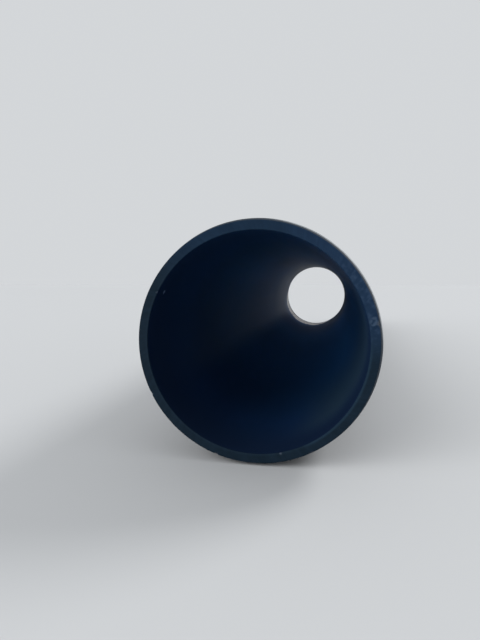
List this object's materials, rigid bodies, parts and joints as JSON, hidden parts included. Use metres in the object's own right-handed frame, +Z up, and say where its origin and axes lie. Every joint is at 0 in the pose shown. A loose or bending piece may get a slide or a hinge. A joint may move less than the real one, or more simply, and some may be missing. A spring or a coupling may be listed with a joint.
{
  "type": "sewer pipe",
  "caption": "Plain length of thick-walled black plastic sewer pipe, round and open at both ends, with a smooth bore and bevelled sawn ends.",
  "frame": {"origin": "on the floor below the middle of the lying pipe", "axes": "+Y along the pipe's axis, away from the pictured end; +Z up"},
  "size_m": [1, 6, 1],
  "materials": {
    "black_polyethylene": "smooth extruded, slightly glossy"
  },
  "bodies": {
    "root": {"pipe_barrel": "black_polyethylene"}
  },
  "joints": []
}
